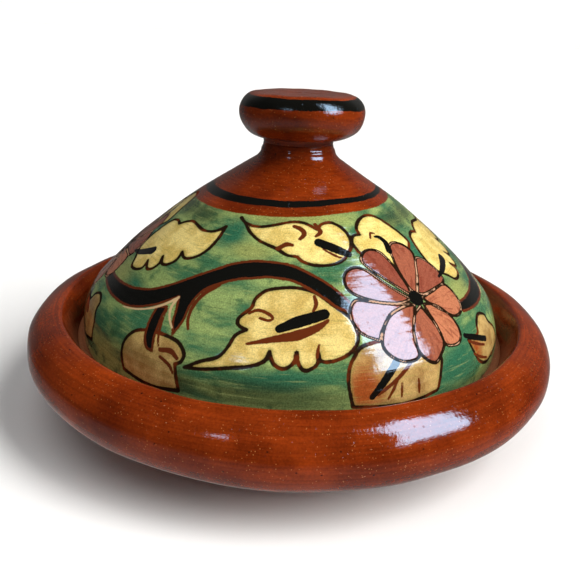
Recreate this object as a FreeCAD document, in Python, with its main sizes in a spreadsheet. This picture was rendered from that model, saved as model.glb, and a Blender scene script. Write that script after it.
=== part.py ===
"""A small glazed earthenware tagine: an open dish with a thick rolled rim, and a domed cone lid
that stands on a ledge inside that rim. The lid is a thrown cone with a separately thrown knob
stuck on its neck.

Frame: millimetres, +Z up along the potter's wheel axis, origin at the middle of the dish's foot.
Every piece is turned round the Z axis, so every sketch lies on the XZ plane of its own body:
sketch x is the radius and sketch y is the height above the table.
"""
import FreeCAD, Part
import math
import os

import Sketcher

SHEET = "Dimensions"
RING_MATCH = 0.3     # how near, in millimetres, an edge is to the ring it is looked up by

# Alias, size in millimetres, meaning. Heights are above the table unless they say otherwise.
DRIVING = [
    ("rim_radius", 115.0, "outermost radius of the rolled rim"),
    ("rim_half_width", 17.4, "half the width of the rim's oval section"),
    ("rim_half_height", 15.1, "half the height of the rim's oval section"),
    ("rim_middle", 29.0, "height of the middle of the rim's section"),
    ("rim_mouth", 100.8, "radius of the rim's inner edge"),
    ("rim_mouth_softness", 1.6, "radius that softens the rim's inner edge"),
    ("foot_radius", 80.0, "radius of the flat foot"),
    ("foot_softness", 2.0, "radius that softens the foot's edge"),
    ("body_radius", 90.0, "radius where the body runs in under the rim"),
    ("body_curve", 46.0, "radius of the body's curve between foot and rim"),
    ("floor_height", 7.0, "height of the dish's inside floor"),
    ("floor_radius", 58.0, "radius of the flat part of the inside floor"),
    ("well_curve", 26.1, "radius of the curve from the floor up to the ledge"),
    ("ledge_inner", 84.0, "inner radius of the ledge that carries the lid"),
    ("ledge_outer", 94.6, "outer radius of the ledge"),
    ("ledge_height", 31.0, "height of the ledge"),
    ("ledge_softness", 1.5, "radius that softens the ledge's inner edge"),
    ("lid_radius", 92.0, "radius of the lid's upright lower wall"),
    ("lid_shoulder_height", 36.0, "height where the lid's shoulder starts to curve in"),
    ("lid_shoulder_curve", 27.0, "radius of the lid's shoulder"),
    ("lid_cone_foot", 84.1, "radius where the shoulder meets the cone"),
    ("lid_cone_foot_height", 55.1, "height where the shoulder meets the cone"),
    ("lid_cone_curve", 275.0, "radius of the cone's slight swell"),
    ("lid_cone_upper", 43.2, "radius where the swell ends and the cone runs straight"),
    ("lid_cone_upper_height", 90.2, "height where the swell ends"),
    ("neck_foot", 18.9, "radius where the straight cone turns up into the neck"),
    ("neck_foot_height", 106.1, "height where the straight cone turns up into the neck"),
    ("neck_curve", 9.0, "radius of the turn up into the neck"),
    ("neck_radius", 14.8, "radius of the neck"),
    ("neck_height", 113.2, "height of the joint between the neck and the knob"),
    ("lid_wall", 6.0, "thickness of the lid's wall"),
    ("lid_wall_at_shoulder", 4.24, "how far in, and down, the wall reaches at the cone's foot"),
    ("lid_wall_inward", 3.4, "how far in the wall reaches where the swell ends"),
    ("lid_wall_downward", 4.95, "how far down the wall reaches where the swell ends"),
    ("lid_inner_top", 10.0, "radius of the small flat at the top of the lid's inside"),
    ("lid_inner_height", 104.4, "height of the top of the lid's inside"),
    ("lid_edge_softness", 1.4, "radius that softens the lid's standing edge"),
    ("knob_radius", 26.4, "outermost radius of the knob"),
    ("knob_widest", 125.8, "height where the knob is widest"),
    ("knob_collar", 1.6, "height of the upright collar under the knob"),
    ("knob_under", 16.0, "radius where the knob's underside starts"),
    ("knob_under_curve", 10.4, "radius of the knob's underside"),
    ("knob_top_radius", 18.9, "radius of the knob's flat top"),
    ("knob_shoulder_curve", 7.5, "radius of the knob's upper shoulder"),
]

SIZE = {alias: value for alias, value, _meaning in DRIVING}


def make_sheet(doc):
    """Put the driving dimensions in a spreadsheet: meaning, value and alias on each row."""
    sheet = doc.addObject("Spreadsheet::Sheet", SHEET)
    for row, (alias, value, meaning) in enumerate(DRIVING, start=1):
        sheet.set(f"A{row}", meaning)
        sheet.set(f"B{row}", str(value))
        sheet.setAlias(f"B{row}", alias)
    doc.recompute()
    return sheet


def make_body(doc, label):
    body = doc.addObject("PartDesign::Body", label)
    body.Label = label
    body.Placement = FreeCAD.Placement()
    return body


def amount(terms):
    """The size of a sum of dimensions such as "rim_radius - rim_half_width"."""
    total = 0.0
    sign = 1
    for word in terms.split():
        if word == "+":
            sign = 1
        elif word == "-":
            sign = -1
        else:
            total += sign * SIZE[word]
    return total


def formula(terms):
    """The same sum, written as an expression that reads the spreadsheet."""
    return " ".join(word if word in ("+", "-") else f"{SHEET}.{word}" for word in terms.split())


class TurnedOutline:
    """A closed outline on a body's XZ plane, drawn edge by edge. Every corner and radius is bound
    to the spreadsheet. A corner is a radius and a height, each a sum of dimensions, and an empty
    radius or height is on the axis or on the table."""

    ORIGIN = (-1, 1)
    ACROSS, UPRIGHT = -1, -2
    START, END, CENTRE = 1, 2, 3

    def __init__(self, body, name):
        self.sketch = body.newObject("Sketcher::SketchObject", name)
        planes = body.Origin.OriginFeatures
        plane = next(item for item in planes if item.Role == "XZ_Plane")
        self.sketch.AttachmentSupport = [(plane, "")]
        self.sketch.MapMode = "FlatFace"
        self.first = None
        self.last = None
        self.at = None

    def fix(self, constraint, terms, factor=1):
        """Add a constraint whose value is a sum of dimensions, or a multiple of one."""
        index = self.sketch.addConstraint(constraint)
        expression = formula(terms) if factor == 1 else f"{factor} * ({formula(terms)})"
        self.sketch.setExpression(f"Constraints[{index}]", expression)

    def fix_along(self, kind, corner, terms):
        """Fix a corner's distance from the axis (DistanceX) or from the table (DistanceY)."""
        if terms:
            self.fix(Sketcher.Constraint(kind, *self.ORIGIN, *corner, amount(terms)), terms)
            return
        line = self.UPRIGHT if kind == "DistanceX" else self.ACROSS
        self.sketch.addConstraint(Sketcher.Constraint("PointOnObject", *corner, line))

    def fix_corner(self, corner, radius, height):
        self.fix_along("DistanceX", corner, radius)
        self.fix_along("DistanceY", corner, height)

    def follow(self, start, end, point):
        """Join a new edge to the one before it, and go on from its end."""
        if self.last is None:
            self.first = start
        else:
            self.sketch.addConstraint(Sketcher.Constraint("Coincident", *self.last, *start))
        self.last = end
        self.at = point

    def begin(self, radius="", height=""):
        self.at = FreeCAD.Vector(amount(radius), amount(height), 0)

    def line(self, radius="", height=""):
        point = FreeCAD.Vector(amount(radius), amount(height), 0)
        edge = self.sketch.addGeometry(Part.LineSegment(self.at, point), False)
        self.follow((edge, self.START), (edge, self.END), point)
        self.fix_corner(self.last, radius, height)

    def arc_to(self, point, curve, centre_on_left):
        """An arc of a given radius, with its centre on the left or the right of the way."""
        size = amount(curve)
        way = point - self.at
        left = FreeCAD.Vector(-way.y, way.x, 0).normalize()
        reach = math.sqrt(size ** 2 - (way.Length / 2) ** 2)
        centre = (self.at + point) * 0.5 + left * (reach if centre_on_left else -reach)
        ends = (self.at, point) if centre_on_left else (point, self.at)
        turns = [math.atan2(end.y - centre.y, end.x - centre.x) for end in ends]
        circle = Part.Circle(centre, FreeCAD.Vector(0, 0, 1), size)
        edge = self.sketch.addGeometry(Part.ArcOfCircle(circle, *turns), False)
        start, end = (self.START, self.END) if centre_on_left else (self.END, self.START)
        self.follow((edge, start), (edge, end), point)
        self.fix(Sketcher.Constraint("Radius", edge, size), curve)

    def arc(self, radius, height, curve, centre_on_left):
        point = FreeCAD.Vector(amount(radius), amount(height), 0)
        self.arc_to(point, curve, centre_on_left)
        self.fix_corner(self.last, radius, height)

    def arc_home(self, curve, centre_on_left):
        """Close the outline with an arc back to its first corner."""
        self.arc_to(self.home, curve, centre_on_left)
        self.close()

    def oval(self, low_radius, high_radius, centre, middle, half_width, half_height):
        """Begin with the outer side of an upright oval, from low_radius on its underside,
        round its widest point, to high_radius on its top."""
        wide = amount(half_width)
        high = amount(half_height)
        hub = FreeCAD.Vector(amount(centre), amount(middle), 0)
        below = -math.acos((amount(low_radius) - hub.x) / wide)
        above = math.acos((amount(high_radius) - hub.x) / wide)
        whole = Part.Ellipse(hub + FreeCAD.Vector(wide, 0, 0), hub + FreeCAD.Vector(0, high, 0), hub)
        edge = self.sketch.addGeometry(Part.ArcOfEllipse(whole, below, above), False)
        self.home, top = (
            hub + FreeCAD.Vector(wide * math.cos(turn), high * math.sin(turn), 0)
            for turn in (below, above))
        self.follow((edge, self.START), (edge, self.END), top)
        self.fix_corner((edge, self.CENTRE), centre, middle)
        self.fix_along("DistanceX", self.first, low_radius)
        self.fix_along("DistanceX", self.last, high_radius)
        self.sketch.exposeInternalGeometry(edge)
        width_line, height_line = edge + 1, edge + 2
        self.sketch.addConstraint(Sketcher.Constraint("Horizontal", width_line))
        self.fix(Sketcher.Constraint("Distance", width_line, 2 * wide), half_width, 2)
        self.fix(Sketcher.Constraint("Distance", height_line, 2 * high), half_height, 2)

    def close(self):
        """Join the last edge to the first corner."""
        self.sketch.addConstraint(Sketcher.Constraint("Coincident", *self.last, *self.first))


def turn_round_axis(body, kind, outline, name):
    """Turn an outline once round the wheel's axis: Revolution adds clay, Groove cuts it away."""
    feature = body.newObject(f"PartDesign::{kind}", name)
    feature.Profile = outline.sketch
    feature.ReferenceAxis = (outline.sketch, ["V_Axis"])
    feature.Angle = 360.0
    body.Document.recompute()
    return feature


def is_ring(edge, radius, height):
    """Whether an edge runs level round the axis at this radius and height."""
    start, stop = edge.ParameterRange
    for share in (0.0, 0.3, 0.7):
        point = edge.valueAt(start + share * (stop - start))
        off_radius = abs(math.hypot(point.x, point.y) - amount(radius))
        off_height = abs(point.z - amount(height))
        if max(off_radius, off_height) > RING_MATCH:
            return False
    return True


def soften(body, feature, name, size, rings):
    """Round off the level circular edges of a feature at the given radii and heights."""
    picked = [
        f"Edge{number}"
        for number, edge in enumerate(feature.Shape.Edges, start=1)
        if any(is_ring(edge, radius, height) for radius, height in rings)]
    if len(picked) != len(rings):
        raise RuntimeError(f"{name}: found {len(picked)} of {len(rings)} edges")
    fillet = body.newObject("PartDesign::Fillet", name)
    fillet.Base = (feature, picked)
    fillet.Radius = SIZE[size]
    fillet.setExpression("Radius", f"{SHEET}.{size}")
    body.Document.recompute()
    return fillet


def make_base_dish(doc):
    """The dish: a flat foot, a body that runs in under the fat oval rim, and inside it a curved
    well, a level ledge for the lid, and a short wall that leans out to the rim's inner edge."""
    body = make_body(doc, "base_dish")
    rim_centre = "rim_radius - rim_half_width"
    rim_top = "rim_middle + rim_half_height"

    outside = TurnedOutline(body, "dish_outside")
    outside.oval("body_radius", rim_centre, rim_centre, "rim_middle",
                 "rim_half_width", "rim_half_height")
    outside.line("", rim_top)
    outside.line("", "")
    outside.line("foot_radius", "")
    outside.arc_home("body_curve", centre_on_left=True)
    turn_round_axis(body, "Revolution", outside, "dish_clay")

    inside = TurnedOutline(body, "dish_inside")
    inside.begin("", "floor_height")
    inside.line("floor_radius", "floor_height")
    inside.arc("ledge_inner", "ledge_height", "well_curve", centre_on_left=True)
    inside.line("ledge_outer", "ledge_height")
    inside.line("rim_mouth", rim_top)
    inside.line("", rim_top)
    inside.line("", "floor_height")
    inside.close()
    hollow = turn_round_axis(body, "Groove", inside, "dish_hollow")

    soft_mouth = soften(body, hollow, "soft_mouth", "rim_mouth_softness",
                        [("rim_mouth", rim_top)])
    soft_ledge = soften(body, soft_mouth, "soft_ledge", "ledge_softness",
                        [("ledge_inner", "ledge_height")])
    soften(body, soft_ledge, "soft_foot", "foot_softness", [("foot_radius", "")])
    return body


def make_lid_cone(doc):
    """The lid without its knob: an upright lower wall, a round shoulder, a cone with a slight
    swell, and a narrow neck. Its inside follows the outside at the thickness of the wall."""
    body = make_body(doc, "lid_cone")

    outside = TurnedOutline(body, "cone_outside")
    outside.begin("", "ledge_height")
    outside.line("lid_radius", "ledge_height")
    outside.line("lid_radius", "lid_shoulder_height")
    outside.arc("lid_cone_foot", "lid_cone_foot_height", "lid_shoulder_curve",
                centre_on_left=True)
    outside.arc("lid_cone_upper", "lid_cone_upper_height", "lid_cone_curve",
                centre_on_left=True)
    outside.line("neck_foot", "neck_foot_height")
    outside.arc("neck_radius", "neck_height", "neck_curve", centre_on_left=False)
    outside.line("", "neck_height")
    outside.line("", "ledge_height")
    outside.close()
    turn_round_axis(body, "Revolution", outside, "cone_clay")

    inside = TurnedOutline(body, "cone_inside")
    inside.begin("", "ledge_height")
    inside.line("lid_radius - lid_wall", "ledge_height")
    inside.line("lid_radius - lid_wall", "lid_shoulder_height")
    inside.arc("lid_cone_foot - lid_wall_at_shoulder",
               "lid_cone_foot_height - lid_wall_at_shoulder",
               "lid_shoulder_curve - lid_wall", centre_on_left=True)
    inside.arc("lid_cone_upper - lid_wall_inward", "lid_cone_upper_height - lid_wall_downward",
               "lid_cone_curve - lid_wall", centre_on_left=True)
    inside.line("lid_inner_top", "lid_inner_height")
    inside.line("", "lid_inner_height")
    inside.line("", "ledge_height")
    inside.close()
    hollow = turn_round_axis(body, "Groove", inside, "cone_hollow")

    soften(body, hollow, "soft_edge", "lid_edge_softness",
           [("lid_radius", "ledge_height"), ("lid_radius - lid_wall", "ledge_height")])
    return body


def make_lid_knob(doc):
    """The knob: a low collar that stands on the neck, a round underside, a rounded shoulder and
    a flat top."""
    body = make_body(doc, "lid_knob")
    outline = TurnedOutline(body, "knob_outline")
    outline.begin("", "neck_height")
    outline.line("neck_radius", "neck_height")
    outline.line("knob_under", "neck_height + knob_collar")
    outline.arc("knob_radius", "knob_widest", "knob_under_curve", centre_on_left=True)
    outline.arc("knob_top_radius", "knob_widest + knob_shoulder_curve", "knob_shoulder_curve",
                centre_on_left=True)
    outline.line("", "knob_widest + knob_shoulder_curve")
    outline.line("", "neck_height")
    outline.close()
    turn_round_axis(body, "Revolution", outline, "knob_clay")
    return body


def check_and_export(doc, bodies):
    """Stop if anything failed to compute, then write each piece to its own file."""
    doc.recompute()
    for item in doc.Objects:
        if "Invalid" in item.State or "Error" in item.State:
            raise RuntimeError(f"{item.Label} did not compute: {item.State}")
    for body in bodies:
        if body.Shape.isNull() or not body.Shape.isValid():
            raise RuntimeError(f"{body.Label} has no valid shape")
    os.makedirs("parts", exist_ok=True)
    for body in bodies:
        body.Shape.exportStep(f"parts/{body.Label}.step")
        litres = body.Shape.Volume / 1e6
        print(f"{body.Label}: {len(body.Shape.Solids)} solid, {litres:.3f} litres of clay")


def main():
    doc = FreeCAD.newDocument("tagine_pot")
    make_sheet(doc)
    bodies = [make_base_dish(doc), make_lid_cone(doc), make_lid_knob(doc)]
    check_and_export(doc, bodies)


main()
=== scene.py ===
"""The tagine's looks: two glazed terracotta pieces turned on a wheel, a painted lid, a pale floor
and soft studio light. Lengths are millimetres until a mesh is written, which is in metres.

A place on the pot is an angle in degrees, 0 at the front (-Y) and growing to the right (+X), and
a height above the table. A run is the distance along a piece's section, from where it starts.
"""
import math
from collections import namedtuple

import bpy
import numpy as np
from mathutils import Matrix, Vector, noise


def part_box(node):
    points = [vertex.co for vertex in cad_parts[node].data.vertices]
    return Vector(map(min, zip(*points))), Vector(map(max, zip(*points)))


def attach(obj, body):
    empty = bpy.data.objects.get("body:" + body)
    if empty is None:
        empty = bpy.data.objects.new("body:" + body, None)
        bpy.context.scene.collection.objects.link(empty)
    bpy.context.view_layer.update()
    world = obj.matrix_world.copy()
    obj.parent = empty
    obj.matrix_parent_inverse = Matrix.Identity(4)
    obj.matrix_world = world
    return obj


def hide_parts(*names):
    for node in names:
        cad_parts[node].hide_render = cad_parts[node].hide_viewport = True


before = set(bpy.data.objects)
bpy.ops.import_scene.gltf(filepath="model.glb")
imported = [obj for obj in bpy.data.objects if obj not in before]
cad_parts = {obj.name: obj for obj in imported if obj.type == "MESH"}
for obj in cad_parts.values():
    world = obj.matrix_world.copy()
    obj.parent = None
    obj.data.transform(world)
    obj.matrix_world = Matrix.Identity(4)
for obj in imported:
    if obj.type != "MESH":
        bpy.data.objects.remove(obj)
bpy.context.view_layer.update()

MM = 0.001


def node_size(node):
    """(outer radius, lowest height, highest height) of a CAD node, in millimetres."""
    low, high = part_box(node)
    return (high.x - low.x) / 2 / MM, low.z / MM, high.z / MM


RIM_RADIUS = node_size("base_dish")[0]
LID_RADIUS, LEDGE_HEIGHT, NECK_HEIGHT = node_size("lid_cone")
KNOB_RADIUS, _, KNOB_TOP = node_size("lid_knob")
NECK_RADIUS = 14.8
KNOB_WIDEST = 125.8      # height where the knob is widest
CLAY, GLAZE = 0, 1       # numbers of each piece's two materials
FAR = -9.0               # a distance that is well outside every painted shape
LID_OUTSIDE = 2          # the first of the lid's stretches that lies on its outside
GROOVE_DEPTH = 0.13      # depth of the painting's incised lines


# ---------------- sections of the turned pieces

# Part of a section: its points, the distance between its rings, the vertices of its widest ring,
# its material's number, and in the UV layout its stacked strips and its share of the height
Stretch = namedtuple("Stretch", "points spacing columns material strips share")


def arc(radius, height, size, start, stop, squash=1.0):
    """Points of an arc round (radius, height), from one angle to another in degrees."""
    count = 2 + int(abs(math.radians(stop - start)) * size / 0.8)
    turns = np.radians(np.linspace(start, stop, count))
    return [(radius + size * math.cos(t), height + size * squash * math.sin(t)) for t in turns]


def bow(start, stop, size):
    """Points of a shallow arc between two points, bulging to the right of the way."""
    a, b = np.array(start), np.array(stop)
    way = b - a
    length = np.hypot(*way)
    left = np.array([-way[1], way[0]]) / length
    centre = (a + b) / 2 + left * math.sqrt(size ** 2 - length ** 2 / 4)
    first = math.atan2(*(a - centre)[::-1])
    turn = 2 * math.asin(length / 2 / size)
    count = 2 + int(length / 0.8)
    return [tuple(centre + size * np.array([math.cos(t), math.sin(t)]))
            for t in np.linspace(first, first + turn, count)]


def soft_corner(before, corner, after, size):
    """A corner rounded off to a given radius, as points."""
    a, p, b = (np.array(x, float) for x in (before, corner, after))
    to_a = (a - p) / np.hypot(*(a - p))
    to_b = (b - p) / np.hypot(*(b - p))
    half = math.acos(np.clip(to_a @ to_b, -1, 1)) / 2
    reach = size / math.tan(half)
    start, stop = p + to_a * reach, p + to_b * reach
    return [tuple((1 - t) ** 2 * start + 2 * t * (1 - t) * p + t ** 2 * stop)
            for t in np.linspace(0, 1, 6)]


def dish_section():
    """From the middle of the foot, out, up over the rim, and down inside to the floor."""
    foot, under = (80, 0), (90, 15.4)
    width, height, middle = 17.4, 15.1, 29
    mouth, ledge_outer, ledge_inner = (100.75, 43.9), (94.6, 31), (84, 31)
    rim = arc(RIM_RADIUS - width, middle, width, -116, 77, height / width)
    body = bow(foot, under, 46)
    well = arc(58, 33.1, 26.1, -5, -90)
    below = [(0, 0)] + soft_corner((0, 0), foot, under, 2.0)
    mouth_edge = soft_corner(rim[-2], mouth, ledge_outer, 1.8)
    ledge = (soft_corner(mouth, ledge_outer, ledge_inner, 1.2)
             + soft_corner(ledge_outer, ledge_inner, (84, 27), 1.5))
    return [Stretch(below[:-3], 3.0, 128, CLAY, 2, 10),
            Stretch(below[-4:] + body[2:-1] + rim[:-1] + mouth_edge[:2], 1.2, 512, GLAZE, 3, 60),
            Stretch(mouth_edge[2:] + ledge[:3], 1.2, 512, GLAZE, 1, 12),
            Stretch(ledge[3:-3], 1.2, 256, CLAY, 1, 6),
            Stretch(ledge[-3:] + well + [(0, 7)], 1.8, 256, GLAZE, 2, 20)]


def cone_section():
    """From the top of the lid's inside, down, round its standing edge, and up to the neck."""
    wall = 6.0
    seat_out, seat_in = (LID_RADIUS, LEDGE_HEIGHT), (LID_RADIUS - wall, LEDGE_HEIGHT)
    foot, upper, neck = (84.1, 55.1), (43.2, 90.2), (18.9, 106.1)
    inner_foot = (foot[0] - 4.24, foot[1] - 4.24)
    inner_upper = (upper[0] - 3.4, upper[1] - 4.95)
    inside = ([(0, 104.4)] + soft_corner((0, 104.4), (10, 104.4), inner_upper, 6.0)
              + bow(inner_foot, inner_upper, 269)[::-1]
              + bow((LID_RADIUS - wall, 36), inner_foot, 21)[::-1][1:])
    edge = (soft_corner((seat_in[0], 40), seat_in, seat_out, 1.4)
            + soft_corner(seat_in, seat_out, (LID_RADIUS, 40), 1.4))
    band = bow((LID_RADIUS, 36), foot, 27) + bow(foot, upper, 275)[1:]
    turn_up = bow((NECK_RADIUS, NECK_HEIGHT), neck, 9)[::-1]
    top = soft_corner((NECK_RADIUS, 110), (NECK_RADIUS, NECK_HEIGHT), (0, NECK_HEIGHT), 0.5)
    return [Stretch(inside, 2.5, 192, CLAY, 1, 14),
            Stretch(edge, 0.6, 384, CLAY, 1, 4),
            Stretch(band, 0.65, 768, GLAZE, 2, 70),
            Stretch(turn_up[:-1] + top + [(0, NECK_HEIGHT)], 0.5, 768, GLAZE, 1, 12)]


def knob_section():
    """From the middle of the knob's joint with the neck, out, up, and back over its flat top."""
    under_curve, shoulder_curve = 10.4, KNOB_TOP - KNOB_WIDEST
    joint = soft_corner((0, NECK_HEIGHT), (NECK_RADIUS, NECK_HEIGHT), (NECK_RADIUS, 116), 0.5)
    under = arc(KNOB_RADIUS - under_curve, KNOB_WIDEST, under_curve, -96, 0)
    shoulder = arc(KNOB_RADIUS - shoulder_curve, KNOB_WIDEST, shoulder_curve, 0, 90)[1:]
    return [Stretch([(0, NECK_HEIGHT)] + joint, 0.5, 256, GLAZE, 1, 10),
            Stretch([(NECK_RADIUS, 114.6)] + under + shoulder, 0.5, 256, GLAZE, 2, 70),
            Stretch([(0, KNOB_TOP)], 0.8, 256, GLAZE, 1, 20)]


# ---------------- turning a section round

class Turned:
    """A section turned round the axis, ring by ring. angle, turn (the same in radians), radius,
    height, run, out and up (the surface's direction) hold one value for each vertex."""

    def __init__(self, stretches):
        self.stretches = stretches
        points, zone = self.divide()
        self.zone = zone
        steps = np.hypot(*np.diff(points, axis=0).T)
        self.ring_run = np.r_[0, np.cumsum(steps)]
        slope_r, slope_z = (np.gradient(points[:, k], self.ring_run) for k in (0, 1))
        size = np.hypot(slope_r, slope_z)
        self.counts = self.ring_counts(points[:, 0])
        self.first = np.r_[0, np.cumsum(self.counts)]
        self.ring = np.repeat(np.arange(len(points)), self.counts)
        self.angle = np.concatenate([np.arange(n) / n * 360 - 180 for n in self.counts])
        self.turn = np.radians(self.angle)
        self.radius, self.height = points[self.ring, 0], points[self.ring, 1]
        self.run = self.ring_run[self.ring]
        self.out, self.up = (slope_z / size)[self.ring], (-slope_r / size)[self.ring]

    def divide(self):
        """The section's points, no further apart than each stretch's spacing, and the stretch
        that each point ends a step of."""
        points, zone = [np.array(self.stretches[0].points[0], float)], [0]
        for number, stretch in enumerate(self.stretches):
            for target in stretch.points:
                start = points[-1]
                step = np.array(target, float) - start
                length = np.hypot(*step)
                if length < 0.02:
                    continue
                count = math.ceil(length / stretch.spacing)
                points += [start + step * (k + 1) / count for k in range(count)]
                zone += [number] * count
        return np.array(points), np.array(zone)

    def ring_counts(self, radii):
        """Vertices of each ring: fewer where the ring is small, and at most a doubling a step."""
        widest = radii.max()
        counts = []
        for radius, number in zip(radii, self.zone):
            n = self.stretches[number].columns
            full = n
            while n > 24 and radius / widest < 0.55 * n / full:
                n //= 2
            counts.append(n if radius > 1e-6 else 1)
        last = len(counts) - 1
        for i in list(range(1, last + 1)) + list(range(last - 1, -1, -1)):
            for j in (i - 1, i + 1):
                if 0 <= j <= last and counts[j] > 1 and counts[i] > 2 * counts[j]:
                    counts[i] = 2 * counts[j]
        return counts

    def faces(self):
        """Arrays of faces, (face, corner, [vertex, share of a turn, run]), with each array's
        stretch."""
        for i, (n, m) in enumerate(zip(self.counts[:-1], self.counts[1:])):
            low, high = self.ring_run[i], self.ring_run[i + 1]
            k = np.arange(max(n, m) if 1 in (n, m) else min(n, m))

            def below(column):
                return np.stack([self.first[i] + column % n, column / n, column * 0 + low], 1)

            def above(column):
                return np.stack([self.first[i + 1] + column % m, column / m, column * 0 + high], 1)

            def pole(vertex, run):
                return np.stack([k * 0 + vertex, (k + 0.5) / len(k), k * 0 + run], 1)

            if n == 1:
                groups = [(pole(self.first[i], low), above(k + 1), above(k))]
            elif m == 1:
                groups = [(below(k), below(k + 1), pole(self.first[i + 1], high))]
            elif n == m:
                groups = [(below(k), below(k + 1), above(k + 1), above(k))]
            elif n > m:
                groups = [(below(2 * k), below(2 * k + 1), above(k)),
                          (below(2 * k + 1), below(2 * k + 2), above(k + 1)),
                          (below(2 * k + 1), above(k + 1), above(k))]
            else:
                groups = [(below(k), above(2 * k + 1), above(2 * k)),
                          (below(k + 1), above(2 * k + 2), above(2 * k + 1)),
                          (below(k), below(k + 1), above(2 * k + 1))]
            for corners in groups:
                yield np.stack(corners, 1), self.zone[i + 1]

    def places(self, relief):
        """Vertices in metres, moved out of the surface by relief millimetres."""
        off_axis = self.radius > 1e-6
        radius = np.where(off_axis, self.radius + relief * self.out, 0)
        height = self.height + relief * self.up
        x, y = radius * np.sin(self.turn), -radius * np.cos(self.turn)
        return np.stack([x, y, height], axis=1) * MM

    def layout(self, corners, number):
        """UV places of faces: a stretch is cut into strips, stacked one above another."""
        total = sum(stretch.share for stretch in self.stretches)
        floor = sum(stretch.share for stretch in self.stretches[:number]) / total
        stretch = self.stretches[number]
        strip = stretch.share / total / stretch.strips
        runs = self.ring_run[np.r_[self.zone == number, False][:-1]]
        low = runs.min() - 0.6
        which = np.minimum((corners[..., 1].mean(1) * stretch.strips).astype(int),
                           stretch.strips - 1)[:, None]
        gap = 0.004
        across = corners[..., 1] * stretch.strips - which
        up = np.clip((corners[..., 2] - low) / (runs.max() - low), 0, 1)
        return np.stack([gap + across * (1 - 2 * gap),
                         floor + strip * which + gap / 2 + up * (strip - gap)], 2)


def make_piece(name, turned, relief, values, materials, lean=0.0):
    """A mesh object whose paint values are attributes, with a UV layer of stacked strips. lean is
    how far each vertex moves to the right, in millimetres."""
    mesh = bpy.data.meshes.new(name)
    faces, uv, chosen = [], [], []
    for corners, number in turned.faces():
        faces += corners[..., 0].astype(int).tolist()
        uv.append(turned.layout(corners, number).reshape(-1, 2))
        chosen += [turned.stretches[number].material] * len(corners)
    places = turned.places(relief) + np.outer(lean, (MM, 0, 0))
    mesh.from_pydata(places.tolist(), [], faces)
    lathe = np.stack([np.sin(turned.turn) * 40, np.cos(turned.turn) * 40, turned.run], axis=1)
    for label, value in {**values, "lathe": lathe}.items():
        kind, field = ("FLOAT", "value") if value.ndim == 1 else ("FLOAT_VECTOR", "vector")
        layer = mesh.attributes.new(label, kind, "POINT")
        layer.data.foreach_set(field, value.astype(np.float32).ravel())
    layer = mesh.uv_layers.new(name="OFBake")
    layer.data.foreach_set("uv", np.concatenate(uv).astype(np.float32).ravel())
    for material in materials:
        mesh.materials.append(material)
    mesh.polygons.foreach_set("material_index", chosen)
    mesh.polygons.foreach_set("use_smooth", [True] * len(faces))
    mesh.update()
    piece = bpy.data.objects.new(name, mesh)
    bpy.context.scene.collection.objects.link(piece)
    return piece


# ---------------- uneven hand work

def waves(turned, seed, strength, lobes=(2, 3, 5, 7)):
    """A slow unevenness round the pot, drifting with height."""
    rng = np.random.default_rng(seed)
    total = np.zeros_like(turned.turn)
    for n in lobes:
        phase, drift = rng.uniform(0, 2 * math.pi), rng.uniform(-0.03, 0.03)
        total += np.sin(n * turned.turn + phase + drift * turned.run) / n
    return total * strength


def throwing_rings(turned, seed, strength, spacing):
    """Fine ridges that the potter's fingers leave, as slow spirals."""
    rng = np.random.default_rng(seed)
    total = np.zeros_like(turned.turn)
    for k in range(3):
        pitch = spacing * rng.uniform(0.7, 1.5)
        phase = rng.uniform(0, 2 * math.pi)
        total += np.sin(2 * math.pi * turned.run / pitch + turned.turn + phase
                        + 0.8 * np.sin(turned.turn * (k + 1) + phase))
    return total / 3 * strength


def lumps(turned, seed, scale, strength):
    """Shallow dents and lumps of about the given size."""
    shift = Vector((seed * 7.1, seed * 3.7, seed * 5.3))
    places = turned.places(np.zeros_like(turned.turn)) / MM / scale
    return np.array([noise.noise(Vector(p) + shift) for p in places]) * strength


def ramp(value, low, high):
    """0 below low, 1 above high, smooth in between."""
    share = np.clip((value - low) / (high - low), 0, 1)
    return share * share * (3 - 2 * share)


# ---------------- the painting's shapes

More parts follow.
